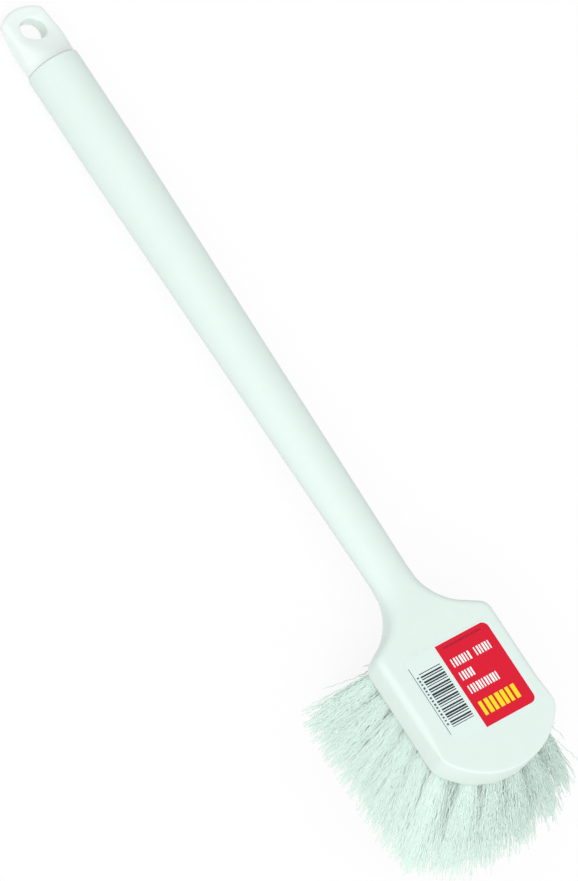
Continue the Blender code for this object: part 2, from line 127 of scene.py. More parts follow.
def new_material(name: str) -> tuple[bpy.types.Material, bpy.types.NodeTree]:
    """Makes an empty node material.

    Args:
        name: The finish's name.

    Returns:
        The material and its node tree, which holds an output node only.
    """
    made = bpy.data.materials.new(name)
    made.use_nodes = True
    made.node_tree.nodes.clear()
    add_node(made.node_tree, "ShaderNodeOutputMaterial")
    return made, made.node_tree


def show_surface(tree: bpy.types.NodeTree, shader: bpy.types.NodeSocket) -> None:
    """Links a shader to the material's output."""
    output = next(node for node in tree.nodes if node.type == "OUTPUT_MATERIAL")
    tree.links.new(shader, output.inputs["Surface"])


def looking_rays(tree: bpy.types.NodeTree) -> bpy.types.NodeSocket:
    """Tells the rays that show the background: those of the eye, of gloss and of clear pieces.

    Args:
        tree: The node tree to add to.

    Returns:
        A socket that is one for those rays and zero for the others.
    """
    rays = add_node(tree, "ShaderNodeLightPath").outputs
    either = add_node(tree, "ShaderNodeMath", {"operation": "MAXIMUM"},
                      {0: rays["Is Camera Ray"], 1: rays["Is Glossy Ray"]})
    any_of_them = add_node(tree, "ShaderNodeMath", {"operation": "MAXIMUM"},
                           {0: either.outputs["Value"], 1: rays["Is Transmission Ray"]})
    return any_of_them.outputs["Value"]


# Where the brush stands


@dataclass
class BrushAxes:
    """The brush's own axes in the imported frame, read from its flat top's mount."""

    mount_x: float = 0.075
    block_thickness: float = 0.018
    to_world: Matrix = field(init=False)

    def __post_init__(self) -> None:
        """Works out the turn and the place of the brush's axes."""
        mount = next(entry for entry in frame["record"]["mounts"] if entry["name"] == "block_top")
        up = Vector(mount["axis"]).normalized()
        side = Vector((0, 1, 0))
        forward = side.cross(up)
        origin = Vector(mount["pos_m"]) - forward * self.mount_x - up * self.block_thickness
        turn = Matrix((forward, side, up)).transposed().to_4x4()
        self.to_world = Matrix.Translation(origin) @ turn

    def height(self, point: Vector) -> float:
        """Height over the floor of a point in the brush's own axes."""
        return (self.to_world @ point).z


# Modelling helpers


def start_fresh() -> None:
    """Leaves edit mode and deselects everything, so that operators act on new work only."""
    if bpy.context.object and bpy.context.object.mode != "OBJECT":
        bpy.ops.object.mode_set(mode="OBJECT")
    bpy.ops.object.select_all(action="DESELECT")


def only_select(piece: bpy.types.Object) -> None:
    """Selects one object and makes it the active one.

    Args:
        piece: The object to select.
    """
    start_fresh()
    piece.select_set(True)
    bpy.context.view_layer.objects.active = piece


def apply_modifier(piece: bpy.types.Object, kind: str, **settings: object) -> None:
    """Adds a modifier with its settings and applies it.

    Args:
        piece: The object to shape.
        kind: The modifier's Blender type name.
        settings: The modifier's attributes.
    """
    only_select(piece)
    modifier = piece.modifiers.new(kind.title(), kind)
    for name, value in settings.items():
        setattr(modifier, name, value)
    bpy.ops.object.modifier_apply(modifier=modifier.name)


def cut_away(piece: bpy.types.Object, cutter: bpy.types.Object) -> None:
    """Cuts one shape out of a piece and removes the cutter.

    Args:
        piece: The object to cut.
        cutter: A closed shape in the same axes.
    """
    apply_modifier(piece, "BOOLEAN", operation="DIFFERENCE", solver="EXACT", object=cutter)
    bpy.data.objects.remove(cutter)


def seat_selection(piece: bpy.types.Object, ring: Sequence[Vector]) -> None:
    """Moves the selected ring of vertices to its points, in the order given by their places.

    Args:
        piece: The swept object, in edit mode.
        ring: A point for each place.
    """
    shape = bmesh.from_edit_mesh(piece.data)
    places = shape.verts.layers.int["place"]
    for vertex in shape.verts:
        if vertex.select:
            vertex.co = ring[vertex[places]]
    bmesh.update_edit_mesh(piece.data)


def sweep(name: str, rings: Sequence[Sequence[Vector]]) -> bpy.types.Object:
    """Extrudes a circle from ring to ring and closes both ends.

    Args:
        name: The new object's name.
        rings: Rings of as many points each; a last ring that folds onto itself closes there.

    Returns:
        The swept object, in the brush's own axes.
    """
    start_fresh()
    bpy.ops.mesh.primitive_circle_add(vertices=len(rings[0]), fill_type="NOTHING")
    piece = bpy.context.object
    piece.name = name
    bpy.ops.object.mode_set(mode="EDIT")
    bpy.ops.mesh.select_mode(type="VERT")
    bpy.ops.mesh.select_all(action="SELECT")
    shape = bmesh.from_edit_mesh(piece.data)
    places = shape.verts.layers.int.new("place")
    for number, vertex in enumerate(shape.verts):
        vertex[places] = number
    seat_selection(piece, rings[0])
    for ring in rings[1:]:
        bpy.ops.mesh.extrude_region_move()
        seat_selection(piece, ring)
    bpy.ops.mesh.select_all(action="SELECT")
    bpy.ops.mesh.remove_doubles(threshold=MERGE_DISTANCE)
    bpy.ops.mesh.select_all(action="DESELECT")
    bpy.ops.mesh.select_non_manifold()
    bpy.ops.mesh.edge_face_add()
    bpy.ops.mesh.select_all(action="SELECT")
    bpy.ops.mesh.normals_make_consistent(inside=False)
    bpy.ops.object.mode_set(mode="OBJECT")
    return piece


def finish_piece(piece: bpy.types.Object, axes: BrushAxes, finish: bpy.types.Material,
                 nodes: Sequence[str], smooth_angle: float = math.radians(40)) -> bpy.types.Object:
    """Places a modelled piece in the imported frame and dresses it.

    Args:
        piece: The object, modelled in the brush's own axes.
        axes: Where the brush stands.
        finish: The piece's material.
        nodes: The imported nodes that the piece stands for.
        smooth_angle: Edges sharper than this stay sharp.

    Returns:
        The same object, with its place in its mesh.
    """
    only_select(piece)
    piece.data.transform(axes.to_world @ piece.matrix_world)
    piece.matrix_world = Matrix.Identity(4)
    bpy.ops.object.shade_smooth_by_angle(angle=smooth_angle)
    piece.data.materials.clear()
    piece.data.materials.append(finish)
    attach(piece, "root")
    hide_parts(*nodes)
    log.info("%s: %d faces", piece.name, len(piece.data.polygons))
    return piece


# Finishes


@dataclass(frozen=True)
class MouldedPolypropylene:
    """Injection-moulded white polypropylene: satin, faintly mottled, with a fine moulded skin."""

    name: str
    colour: str
    shade_colour: str
    roughness: float
    scatter_share: float = 0.1
    scatter_radius: float = 0.002
    mottle_size: float = 0.009
    mottle_detail: float = 4.0
    mottle_fineness: float = 0.6
    skin_grain: float = 0.0007
    skin_detail: float = 2.0
    skin_strength: float = 0.12
    skin_depth: float = 0.00006
    roughness_swing: float = 0.05
    ior: float = 1.49

    def make(self) -> bpy.types.Material:
        """Makes the plastic's node material.

        Returns:
            The material.
        """
        material, tree = new_material(self.name)
        place = add_node(tree, "ShaderNodeTexCoord").outputs["Object"]
        # The pigment is a little uneven, so the eye sees slow, pale clouds in the white
        mottle = add_node(tree, "ShaderNodeTexNoise",
                          {"Scale": 1 / self.mottle_size, "Detail": self.mottle_detail,
                           "Roughness": self.mottle_fineness}, {"Vector": place})
        tint = add_node(tree, "ShaderNodeMix",
                        {"data_type": "RGBA", "A": linear(self.shade_colour),
                         "B": linear(self.colour)}, {"Factor": mottle.outputs["Fac"]})
        # The mould leaves a fine skin, which breaks up the gloss so that it spreads like satin.
        # The real grain is finer, and this one is as coarse as it needs to be to show
        grain = add_node(tree, "ShaderNodeTexNoise",
                         {"Scale": 1 / self.skin_grain, "Detail": self.skin_detail},
                         {"Vector": place})
        skin = add_node(tree, "ShaderNodeBump",
                        {"Strength": self.skin_strength, "Distance": self.skin_depth},
                        {"Height": grain.outputs["Fac"]})
        gloss = add_node(tree, "ShaderNodeMapRange",
                         {"To Min": self.roughness - self.roughness_swing,
                          "To Max": self.roughness + self.roughness_swing},
                         {"Value": mottle.outputs["Fac"]})
        # A little light sinks in and comes out again, so the white looks milky and not painted
        shader = add_node(tree, "ShaderNodeBsdfPrincipled",
                          {"IOR": self.ior, "Subsurface Weight": self.scatter_share,
                           "Subsurface Radius": (self.scatter_radius,) * 3,
                           "Subsurface Scale": 1.0},
                          {"Base Color": tint.outputs["Result"],
                           "Roughness": gloss.outputs["Result"], "Normal": skin.outputs["Normal"]})
        show_surface(tree, shader.outputs["BSDF"])
        return material


@dataclass(frozen=True)
class BristleFilament:
    """Extruded, crimped polypropylene filament, clear enough to light the strands behind it."""

    name: str = "natural_polypropylene_bristle"
    colour: str = "EAFFF6"
    clump_colour: str = "E3FEF2"
    clump_size: float = 0.0025
    clump_detail: float = 2.0
    clump_low: float = 0.35
    clump_high: float = 0.65
    ior: float = 1.49
    roughness: float = 0.38
    sheen: float = 0.8
    sheen_roughness: float = 0.4

    def make(self) -> bpy.types.Material:
        """Makes the filament's node material.

        Returns:
            The material.
        """
        material, tree = new_material(self.name)
        place = add_node(tree, "ShaderNodeTexCoord").outputs["Object"]
        # Single strands differ a little in tone, so the eye tells them apart in the white mass
        clumps = add_node(tree, "ShaderNodeTexNoise",
                          {"Scale": 1 / self.clump_size, "Detail": self.clump_detail},
                          {"Vector": place})
        spread = add_node(tree, "ShaderNodeMapRange",
                          {"From Min": self.clump_low, "From Max": self.clump_high},
                          {"Value": clumps.outputs["Fac"]})
        tint = add_node(tree, "ShaderNodeMix",
                        {"data_type": "RGBA", "A": linear(self.clump_colour),
                         "B": linear(self.colour)}, {"Factor": spread.outputs["Result"]})
        # The sheen stands in for the light that clear strands catch along their edges
        skin = add_node(tree, "ShaderNodeBsdfPrincipled",
                        {"IOR": self.ior, "Roughness": self.roughness, "Sheen Weight": self.sheen,
                         "Sheen Roughness": self.sheen_roughness,
                         "Sheen Tint": linear(self.clump_colour)},
                        {"Base Color": tint.outputs["Result"]})
        # Rays from the lamp and the room pass on through the clear strands, and the eye doesn't
        clear = add_node(tree, "ShaderNodeBsdfTransparent")
        rays = add_node(tree, "ShaderNodeLightPath")
        shader = skin.outputs["BSDF"]
        for kind in ("Is Shadow Ray", "Is Diffuse Ray"):
            passing = add_node(tree, "ShaderNodeMixShader", None,
                               {0: rays.outputs[kind], 1: shader, 2: clear.outputs["BSDF"]})
            shader = passing.outputs["Shader"]
        show_surface(tree, shader)
        return material


@dataclass(frozen=True)
class PrintBlock:
    """A printed rectangle on the label, whole or broken into strokes of uneven width."""

    colour: str
    low_x: float
    high_x: float
    low_y: float
    high_y: float
    pitch: float = 0.0
    narrowest_share: float = 0.3
    extra_share: float = 0.0
    strokes_along_x: bool = True


class MaskMath:
    """Adds Math nodes that draw shapes as masks of one and zero."""

    def __init__(self, tree: bpy.types.NodeTree) -> None:
        """Keeps the tree that the nodes go to."""
        self.tree = tree

    def value(self, operation: str, *terms: object) -> bpy.types.NodeSocket:
        """Adds one Math node.

        Args:
            operation: The node's operation.
            terms: The numbers and sockets that it works on.

        Returns:
            The result's socket.
        """
        numbers = {place: term for place, term in enumerate(terms)
                   if isinstance(term, (int, float))}
        sockets = {place: term for place, term in enumerate(terms) if place not in numbers}
        return add_node(self.tree, "ShaderNodeMath", {"operation": operation, **numbers},
                        sockets).outputs["Value"]

    def within(self, value: bpy.types.NodeSocket, low: float, high: float) -> bpy.types.NodeSocket:
        """One where a value lies between two numbers."""
        from_middle = self.value("ABSOLUTE", self.value("SUBTRACT", value, (low + high) / 2))
        return self.value("LESS_THAN", from_middle, (high - low) / 2)

    def strokes(self, value: bpy.types.NodeSocket, block: PrintBlock) -> bpy.types.NodeSocket:
        """Draws strokes whose widths follow a plain rule and encode nothing.

        Args:
            value: The distance along the row of strokes.
            block: The rectangle that they fill, with their pitch and widths.

        Returns:
            A socket that is one on the strokes.
        """
        start = block.low_x if block.strokes_along_x else block.low_y
        steps = self.value("DIVIDE", self.value("SUBTRACT", value, start), block.pitch)
        number = self.value("FLOOR", steps)
        uneven = self.value("FRACT", self.value("MULTIPLY", number, GOLDEN_SHARE))
        width = self.value("MULTIPLY_ADD", uneven, block.extra_share, block.narrowest_share)
        return self.value("LESS_THAN", self.value("FRACT", steps), width)

    def round_box(self, x: bpy.types.NodeSocket, y: bpy.types.NodeSocket, block: PrintBlock,
                  radius: float) -> bpy.types.NodeSocket:
        """Draws a rectangle whose two corners on the far side are rounded.

        Args:
            x: The place along the sheet.
            y: The place across the sheet.
            block: The rectangle.
            radius: The corners' radius.

        Returns:
            A socket that is one inside the rectangle.
        """
        middle_x, half_x = (block.low_x + block.high_x) / 2, (block.high_x - block.low_x) / 2
        from_middle = self.value("ABSOLUTE", self.value("SUBTRACT", x, middle_x))
        past_x = self.value("MAXIMUM", self.value("SUBTRACT", from_middle, half_x - radius), 0)
        past_y = self.value("MAXIMUM", self.value("SUBTRACT", y, block.high_y - radius), 0)
        reach = self.value("SQRT", self.value("ADD", self.value("MULTIPLY", past_x, past_x),
                                              self.value("MULTIPLY", past_y, past_y)))
        rounded = self.value("LESS_THAN", reach, radius)
        plain = self.value("MULTIPLY", self.within(x, block.low_x, block.high_x),
                           self.within(y, block.low_y, block.high_y - radius))
        far = self.value("MULTIPLY", rounded, self.value("GREATER_THAN", y, block.high_y - radius))
        return self.value("MAXIMUM", plain, far)


@dataclass(frozen=True)
class LabelFilm:
    """Printed self-adhesive film: a red panel with plain strokes beside a row of dark bars."""

    name: str = "printed_label_film"
    ior: float = 1.46
    roughness: float = 0.36
    gloss_level: float = 0.3
    paper: str = "DEEEE9"
    # Each block has its colour, its span along and across the sheet and, where it is broken into
    # strokes, their pitch, the narrowest stroke's share of it and what the rule adds to that
    panel: PrintBlock = PrintBlock("D8082C", 0.0009, 0.0528, 0.0219, 0.0574)
    panel_corner_radius: float = 0.004
    blocks: tuple[PrintBlock, ...] = (
        PrintBlock("F4F8F7", 0.0110, 0.0160, 0.0255, 0.0388, 0.0019, 0.42, 0.30, False),
        PrintBlock("F4F8F7", 0.0110, 0.0160, 0.0415, 0.0529, 0.0019, 0.42, 0.30, False),
        PrintBlock("F4F8F7", 0.0195, 0.0245, 0.0255, 0.0350, 0.0019, 0.42, 0.30, False),
        PrintBlock("F4F8F7", 0.0280, 0.0330, 0.0255, 0.0464, 0.0019, 0.42, 0.30, False),
        PrintBlock("FCDD1C", 0.0385, 0.0470, 0.0255, 0.0514, 0.0037, 0.58, 0.20, False),
        PrintBlock("84142A", 0.0032, 0.0045, 0.0260, 0.0526, 0.0014, 0.45, 0.30, False),
        PrintBlock("262C36", 0.0100, 0.0440, 0.0046, 0.0192, 0.0016, 0.30, 0.50),
        PrintBlock("5A626C", 0.0112, 0.0427, 0.0022, 0.0035, 0.0021, 0.45, 0.20),
        PrintBlock("5A626C", 0.0048, 0.0472, 0.0007, 0.0011),
    )

    def make(self) -> bpy.types.Material:
        """Makes the film's node material, which reads the label's UV map in metres.

        Returns:
            The material.
        """
        material, tree = new_material(self.name)
        draw = MaskMath(tree)
        sheet = add_node(tree, "ShaderNodeUVMap", {"uv_map": "label"})
        split = add_node(tree, "ShaderNodeSeparateXYZ", None, {"Vector": sheet.outputs["UV"]})
        x, y = split.outputs["X"], split.outputs["Y"]
        ink = add_node(tree, "ShaderNodeMix", {"data_type": "RGBA", "A": linear(self.paper),
                                               "B": linear(self.panel.colour)},
                       {"Factor": draw.round_box(x, y, self.panel, self.panel_corner_radius)})
        for block in self.blocks:
            mask = draw.value("MULTIPLY", draw.within(x, block.low_x, block.high_x),
                              draw.within(y, block.low_y, block.high_y))
            if block.pitch:
                mask = draw.value("MULTIPLY", mask,
                                  draw.strokes(x if block.strokes_along_x else y, block))
            ink = add_node(tree, "ShaderNodeMix", {"data_type": "RGBA", "B": linear(block.colour)},
                           {"Factor": mask, "A": ink.outputs["Result"]})
        # A low gloss over the whole print, so the film shines a little more than the plastic
        shader = add_node(tree, "ShaderNodeBsdfPrincipled",
                          {"IOR": self.ior, "Roughness": self.roughness,
                           "Specular IOR Level": self.gloss_level},
                          {"Base Color": ink.outputs["Result"]})
        show_surface(tree, shader.outputs["BSDF"])
        return material


@dataclass(frozen=True)
class StudioFloor:
    """Seamless white paper: it shows as white, and keeps part of the brush's shadow."""

    name: str = "white_paper"
    colour: str = "F7F7F7"
    white_share: float = 0.88

    def make(self) -> bpy.types.Material:
        """Makes the paper's node material.

        Returns:
            The material.
        """
        material, tree = new_material(self.name)
        paper = add_node(tree, "ShaderNodeBsdfDiffuse", {"Color": linear(self.colour)})
        white = add_node(tree, "ShaderNodeEmission", {"Color": linear("FFFFFF"), "Strength": 1.0})
        seen = add_node(tree, "ShaderNodeMath", {"operation": "MULTIPLY", 1: self.white_share},
                        {0: looking_rays(tree)})
        both = add_node(tree, "ShaderNodeMixShader", None,
                        {0: seen.outputs["Value"], 1: paper.outputs["BSDF"],
                         2: white.outputs["Emission"]})
        show_surface(tree, both.outputs["Shader"])
        return material


# Cross-sections of the moulded pieces


@dataclass(frozen=True)
class Station:
    """One place along half of a piece's plan outline, with the section's height and edges."""

    x: float
    y: float
    normal_x: float
    normal_y: float
    half_height: float
    roundness: float
    top_radius_share: float = 1.0


@dataclass(frozen=True)
class EdgeRounding:
    """How a section's lower and upper edges are rounded, and how finely."""

    bottom_radius: float
    top_radius: float
    steps: int = 8
    support: float = 0.0012

    def profile(self, half_height: float, top_share: float) -> list[tuple[float, float]]:
        """Works out the points up one side of a flat-faced section.

        Args:
            half_height: Half the section's height.
            top_share: The share of the upper edge's radius that is kept.

        Returns:
            Inset and height of each point.
        """
        top_radius = self.top_radius * top_share
        points = [(self.bottom_radius + self.support, -half_height)]
        for step in range(self.steps + 1):
            angle = QUARTER_TURN * (step / self.steps - 1)
            points.append((self.bottom_radius * (1 - math.cos(angle)),
                           -half_height + self.bottom_radius * (1 + math.sin(angle))))
        for step in range(self.steps + 1):
            angle = QUARTER_TURN * step / self.steps
            points.append((top_radius * (1 - math.cos(angle)),
                           half_height - top_radius * (1 - math.sin(angle))))
        return points + [(top_radius + self.support, half_height)]

    def count(self) -> int:
        """How many points one side has."""
        return 2 * self.steps + 4

    def angle(self, place: int) -> float:
        """Angle above the horizontal of one of the even points up the side of a round section."""
        return math.pi * (place + 0.5) / self.count() - QUARTER_TURN

    def side(self, station: Station, side: Side, middle_z: float) -> list[Vector]:
        """Works out the points up one side of the section at a station.

        Args:
            station: The place along the piece.
            side: The left or the right side.
            middle_z: The height of the section's middle.

        Returns:
            The points, from the bottom to the top.
        """
        points = []
        rounded = self.profile(station.half_height, station.top_radius_share)
        for place, (inset, height) in enumerate(rounded):
            flat = Vector((station.x - station.normal_x * inset,
                           side.value * (station.y - station.normal_y * inset),
                           middle_z + height))
            angle = self.angle(place)
            turned = Vector((station.x, side.value * station.y * math.cos(angle),
                             middle_z + station.half_height * math.sin(angle)))
            points.append(flat.lerp(turned, station.roundness))
        return points

    def ring(self, station: Station, middle_z: float) -> list[Vector]:
        """The whole section: up the left side and down the right side."""
        left = self.side(station, Side.LEFT, middle_z)
        return left + self.side(station, Side.RIGHT, middle_z)[::-1]

    def round_ring(self, x: float, radius: float, middle_z: float) -> list[Vector]:
        """A round section with as many points as the others."""
        return self.ring(Station(x, radius, 0, 1, radius, 1), middle_z)


def between(start: float, end: float, share: float) -> float:
    """The value at a share of the way from one number to another."""
    return start + (end - start) * share


def smooth_share(share: float) -> float:
    """A share that leaves 0 and reaches 1 without a kink."""
    held = min(max(share, 0), 1)
    return held * held * (3 - 2 * held)


def arc_points(length: float, half_width: float, rise: float, corner_radius: float,
               corner_steps: int, arc_steps: int) -> list[tuple[float, float, float, float]]:
    """Outline from the end of a straight side, round its corner, to the middle of a curved end.

    Args:
        length: Where the middle of the end lies.
        half_width: Half the distance between the straight sides.
        rise: How far the end's arc rises between the sides.
        corner_radius: Radius of the rounded corners.
        corner_steps: Steps round the corner.
        arc_steps: Steps along half of the arc.

    Returns:
        Points with their outward normals, as x, y, normal x and normal y.
    """
    radius = (half_width ** 2 + rise ** 2) / (2 * rise)
    centre = length - radius
    corner_y = half_width - corner_radius
    corner_x = centre + math.sqrt((radius - corner_radius) ** 2 - corner_y ** 2)
    meeting = math.atan2(corner_y, corner_x - centre)
    points = []
    for step in range(corner_steps):
        angle = between(QUARTER_TURN, meeting, step / corner_steps)
        points.append((corner_x + corner_radius * math.cos(angle),
                       corner_y + corner_radius * math.sin(angle),
                       math.cos(angle), math.sin(angle)))
    for step in range(arc_steps + 1):
        angle = meeting * (1 - step / arc_steps)
        points.append((centre + radius * math.cos(angle), radius * math.sin(angle),
                       math.cos(angle), math.sin(angle)))
    return points


# Pieces


@dataclass
class TuftField:
    """Where the tufts stand and how they lean, shared by the block's holes and the bristles."""

    block_length: float = 0.088
    block_width: float = 0.079
    front_rise: float = 0.0215
    columns: int = 6
    row_pitch: float = 0.0124
    side_margin: float = 0.008
    rear_margin: float = 0.006
    front_margin: float = 0.007
    hole_diameter: float = 0.0064
    hole_depth: float = 0.012
    side_lean: float = math.radians(25)
    front_lean: float = math.radians(31.5)
    rear_lean: float = math.radians(-1)

    def outer_y(self) -> float:
        """Distance of the outer columns from the middle."""
        return self.block_width / 2 - self.side_margin

    def places(self) -> list[tuple[int, int, float, float]]:
        """Finds where every tuft stands.

        Returns:
            Row, column and place of each, with both numbers counted from one.
        """
        pitch = 2 * self.outer_y() / (self.columns - 1)
        found = []
        for column in range(self.columns):
            y = column * pitch - self.outer_y()
            front_x = self.front_x(y)
            gaps = round((front_x - self.rear_margin) / self.row_pitch)
            for row in range(gaps + 1):
                x = between(self.rear_margin, front_x, row / gaps)
                found.append((row + 1, column + 1, x, y))
        return found

    def front_x(self, y: float) -> float:
        """Finds how far forward the front tufts stand.

        Args:
            y: The distance from the middle.

        Returns:
            Their place along the block.
        """
        radius = ((self.block_width / 2) ** 2 + self.front_rise ** 2) / (2 * self.front_rise)
        held = min(abs(y), self.outer_y())
        return self.block_length - radius + math.sqrt((radius - self.front_margin) ** 2 - held ** 2)

    def lean(self, x: float, y: float) -> Vector:
        """Finds how far a bristle leans for each unit of its depth.

        Args:
            x: The bristle's place along the block.
            y: Its place across the block.

        Returns:
            The lean forwards and to the left.
        """
        share = (x - self.rear_margin) / (self.front_x(y) - self.rear_margin)
        held = min(max(share, 0), 1)
        forward = between(math.tan(self.rear_lean), math.tan(self.front_lean), held)
        side_share = min(max(y / self.outer_y(), -1), 1)
        return Vector((forward, math.tan(self.side_lean) * side_share))


@dataclass
class MouldedBody:
    """Handle, neck and block in one moulding, with its bore and its drilled tuft holes."""

    axes: BrushAxes
    tufts: TuftField
    block_thickness: float = 0.018
    front_corner_radius: float = 0.010
    shoulder_corner_radius: float = 0.008
    shoulder_angle: float = math.radians(61)
    neck_width: float = 0.0246
    neck_fillet_radius: float = 0.027
    fade_length: float = 0.032
    fade_end_distance: float = 0.008
    handle_length: float = 0.3815
    grip_length: float = 0.0575
    end_diameter: float = 0.0318
    wall: float = 0.003
    bore_depth: float = 0.3175
    rim_radius: float = 0.0008
    edges: EdgeRounding = EdgeRounding(0.0012, 0.004)
    front_top_share: float = 0.3
    front_blend_length: float = 0.022
    rim_steps: int = 5
    handle_steps: int = 44
    fillet_steps: int = 24
    slope_steps: int = 5
    shoulder_steps: int = 12
    side_steps: int = 8
    corner_steps: int = 10
    front_steps: int = 16
    drill_sides: int = 20

    def neck_start(self) -> float:
        """Finds where the neck begins to flare.

        Returns:
            Its distance behind the shoulder corners.
        """
        length = self.neck_fillet_radius * math.sin(self.shoulder_angle)
        rise = self.neck_fillet_radius * (1 - math.cos(self.shoulder_angle))
        straight = (self.tufts.block_width - self.neck_width) / 2 - rise
        return length + straight / math.tan(self.shoulder_angle)

    def roundness(self, x: float) -> float:
        """How round the section is: an oval neck turns into the flat-faced block."""
        return 1 - smooth_share((x + self.fade_end_distance + self.fade_length) / self.fade_length)

    def handle_station(self, x: float) -> Station:
        """Follows the straight grip, then an even taper to the neck's oval.

        Args:
            x: A place along the handle.

        Returns:
            The section there.
        """
        taper = self.handle_length - self.grip_length - self.neck_start()
        share = max((x + self.handle_length - self.grip_length) / taper, 0)
        return Station(x, between(self.end_diameter, self.neck_width, share) / 2, 0, 1,
                       between(self.end_diameter, self.block_thickness, share) / 2,
                       self.roundness(x))

    def block_outline(self) -> list[tuple[float, float, float, float]]:
        """Follows half of the plan from the neck's flare to the middle of the front end.

        Returns:
            Points with their outward normals, as x, y, normal x and normal y.
        """
        points = []
        start, fillet, angle = -self.neck_start(), self.neck_fillet_radius, self.shoulder_angle
        for step in range(self.fillet_steps + 1):
            turn = angle * step / self.fillet_steps
            points.append((start + fillet * math.sin(turn),
                           self.neck_width / 2 + fillet * (1 - math.cos(turn)),
                           -math.sin(turn), math.cos(turn)))
        corner = self.shoulder_corner_radius
        corner_x = corner * math.tan(angle / 2)
        corner_y = self.tufts.block_width / 2 - corner
        flare_end = points[-1]
        slope_end = (corner_x - corner * math.sin(angle), corner_y + corner * math.cos(angle))
        for step in range(1, self.slope_steps):
            share = step / self.slope_steps
            points.append((between(flare_end[0], slope_end[0], share),
                           between(flare_end[1], slope_end[1], share),
                           -math.sin(angle), math.cos(angle)))
        for step in range(self.shoulder_steps + 1):
            turn = angle * (1 - step / self.shoulder_steps)
            points.append((corner_x - corner * math.sin(turn), corner_y + corner * math.cos(turn),
                           -math.sin(turn), math.cos(turn)))
        half_width = self.tufts.block_width / 2
        front = arc_points(self.tufts.block_length, half_width, self.tufts.front_rise,
                           self.front_corner_radius, self.corner_steps, self.front_steps)
        for step in range(1, self.side_steps):
            x = between(corner_x, front[0][0], step / self.side_steps)
            points.append((x, half_width, 0, 1))
        return points + front

    def rings(self) -> list[list[Vector]]:
        """Runs from the bottom of the bore, out over the rim and along to the front end.

        Returns:
            The sections in order.
        """
        middle = self.block_thickness / 2
        end = -self.handle_length
        bore_end = self.handle_station(end + self.bore_depth).half_height - self.wall
        mouth = self.end_diameter / 2 - self.wall
        rings = [self.edges.round_ring(end + self.bore_depth, bore_end, middle),
                 self.edges.round_ring(end + self.rim_radius, mouth, middle),
                 self.edges.round_ring(end, mouth + self.rim_radius, middle)]
        for step in range(self.rim_steps):
            turn = QUARTER_TURN * step / self.rim_steps
            rings.append(self.edges.round_ring(
                end + self.rim_radius * (1 - math.cos(turn)),
                self.end_diameter / 2 - self.rim_radius * (1 - math.sin(turn)), middle))
        for step in range(self.handle_steps):
            x = between(end + self.rim_radius, -self.neck_start(), step / self.handle_steps)
            rings.append(self.edges.ring(self.handle_station(x), middle))
        for point in self.block_outline():
            x = point[0]
            station = Station(*point, middle, self.roundness(x), self.top_share(x))
            rings.append(self.edges.ring(station, middle))
        return rings

    def top_share(self, x: float) -> float:
        """The share of the sides' top rounding that is kept: the front edge is crisper."""
        past = x - (self.tufts.block_length - self.tufts.front_rise - self.front_blend_length)
        return between(1, self.front_top_share, smooth_share(past / self.front_blend_length))

    def hole_cutter(self) -> bpy.types.Object:
        """Models every tuft hole as one cutter.

        Returns:
            The cutter, half of it below the block's underside.
        """
        start_fresh()
        bpy.ops.mesh.primitive_cylinder_add(vertices=self.drill_sides,
                                            radius=self.tufts.hole_diameter / 2,
                                            depth=2 * self.tufts.hole_depth)
        drill = bpy.context.object
        cutters = [drill]
        for _, _, x, y in self.tufts.places()[1:]:
            copy = drill.copy()
            copy.data = drill.data.copy()
            copy.location = (x, y, 0)
            bpy.context.scene.collection.objects.link(copy)
            cutters.append(copy)
        drill.location = self.tufts.places()[0][2:] + (0,)
        only_select(drill)
        for cutter in cutters:
            cutter.select_set(True)
        bpy.ops.object.join()
        return drill

    def build(self, finish: bpy.types.Material) -> bpy.types.Object:
        """Models the moulding, drills it and dresses it.

        Args:
            finish: The plastic.

        Returns:
            The body.
        """
        body = sweep("moulded_body", self.rings())
        cut_away(body, self.hole_cutter())
        return finish_piece(body, self.axes, finish, ["brush_body"])


